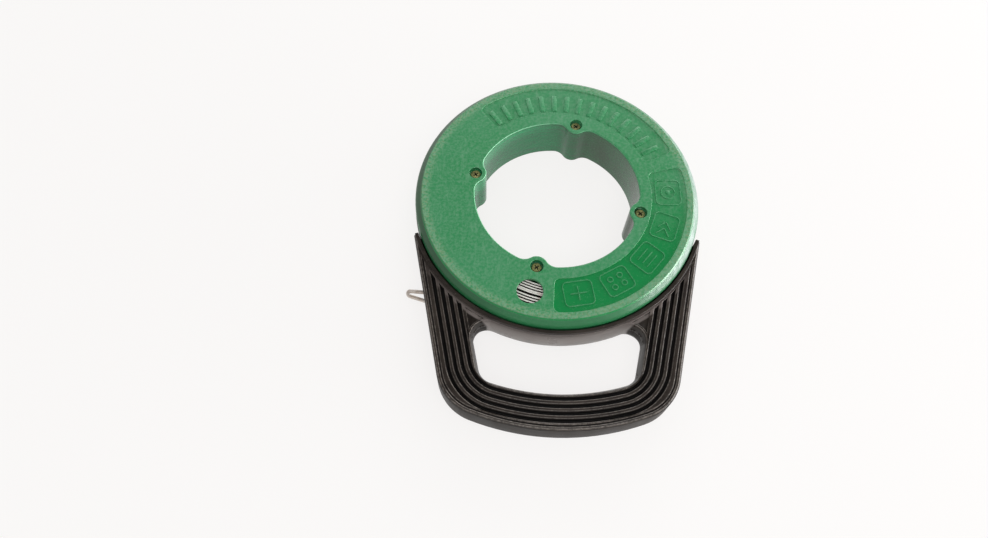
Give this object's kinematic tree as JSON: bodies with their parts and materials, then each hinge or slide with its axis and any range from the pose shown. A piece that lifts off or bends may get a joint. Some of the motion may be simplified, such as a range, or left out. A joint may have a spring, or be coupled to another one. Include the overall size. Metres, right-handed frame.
{
  "type": "fish tape reel",
  "caption": "Hand-held reel with a spinning ring-shaped case, a ribbed grip that carries it, and a steel pulling tape with a looped end.",
  "frame": {"origin": "case axis, at the plane of the rear face that the reel rests on", "axes": "+Z along the case axis, out of the front face; the grip points to -Y; +X to the right when the front face is seen with the grip down"},
  "size_m": [0.2327, 0.3064, 0.041],
  "materials": {
    "case_plastic": "faded green moulded plastic, satin",
    "grip_plastic": "black moulded plastic, satin, worn grey on the edges",
    "screw_brass": "yellow-plated steel, dull",
    "insert_brass": "plain",
    "tape_steel": "bare spring steel",
    "anchor_steel": "plain",
    "guide_plastic": "plain"
  },
  "bodies": {
    "handle": {"handle": "grip_plastic", "tape_guide": "guide_plastic"},
    "case": {"front_cover": "case_plastic", "rear_cover": "case_plastic", "case_screws": "screw_brass", "screw_inserts": "insert_brass", "tape_coil": "tape_steel", "tape_anchor": "anchor_steel"},
    "tape": {"tape_leader": "tape_steel"}
  },
  "joints": [
    {"name": "case_spin", "type": "hinge", "parent": "handle", "child": "case", "pos_m": [0, 0, 0.0205], "axis": [0, 0, 1], "continuous": true},
    {"name": "tape_pull", "type": "slide", "parent": "handle", "child": "tape", "axis": [-0.9833, 0.1822, 0], "range_m": [0, 0.06]}
  ]
}
